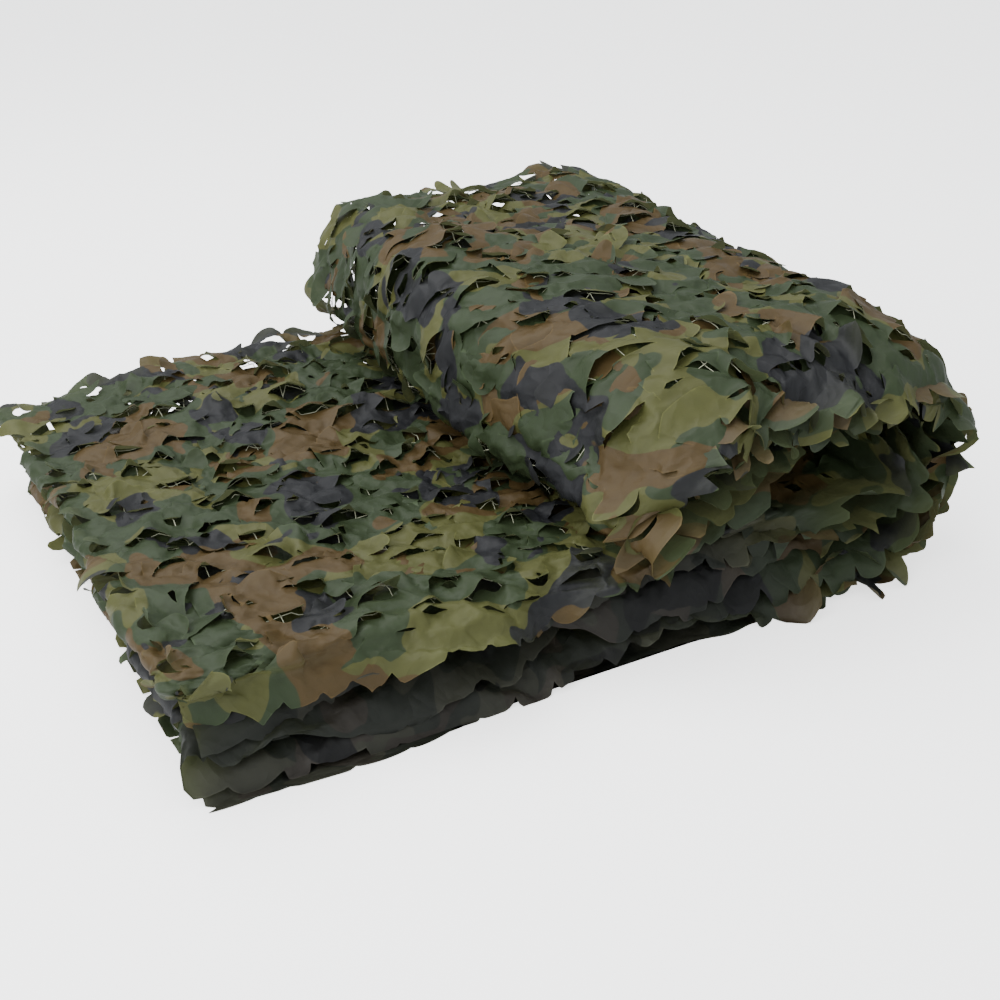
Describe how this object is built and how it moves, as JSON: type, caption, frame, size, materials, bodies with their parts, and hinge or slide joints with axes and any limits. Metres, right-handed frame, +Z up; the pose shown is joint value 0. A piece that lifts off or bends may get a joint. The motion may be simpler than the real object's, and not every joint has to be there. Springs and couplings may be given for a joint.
{
  "type": "camouflage net",
  "caption": "Folded camouflage net of leaf-cut cloth: a flat stack of plies that turns over at one end and lies back on itself as a thicker block.",
  "frame": {"origin": "on the ground, under the middle of the folded bundle", "axes": "+X along the bundle from its low free end to its folded-over end, +Y across it, +Z up"},
  "size_m": [1.1596, 0.92, 0.4135],
  "materials": {
    "leaf_cloth": "thin satin polyester, printed in four woodland colours and cut into curling leaf lobes"
  },
  "bodies": {
    "root": {"net_cloth": "leaf_cloth"}
  },
  "joints": []
}
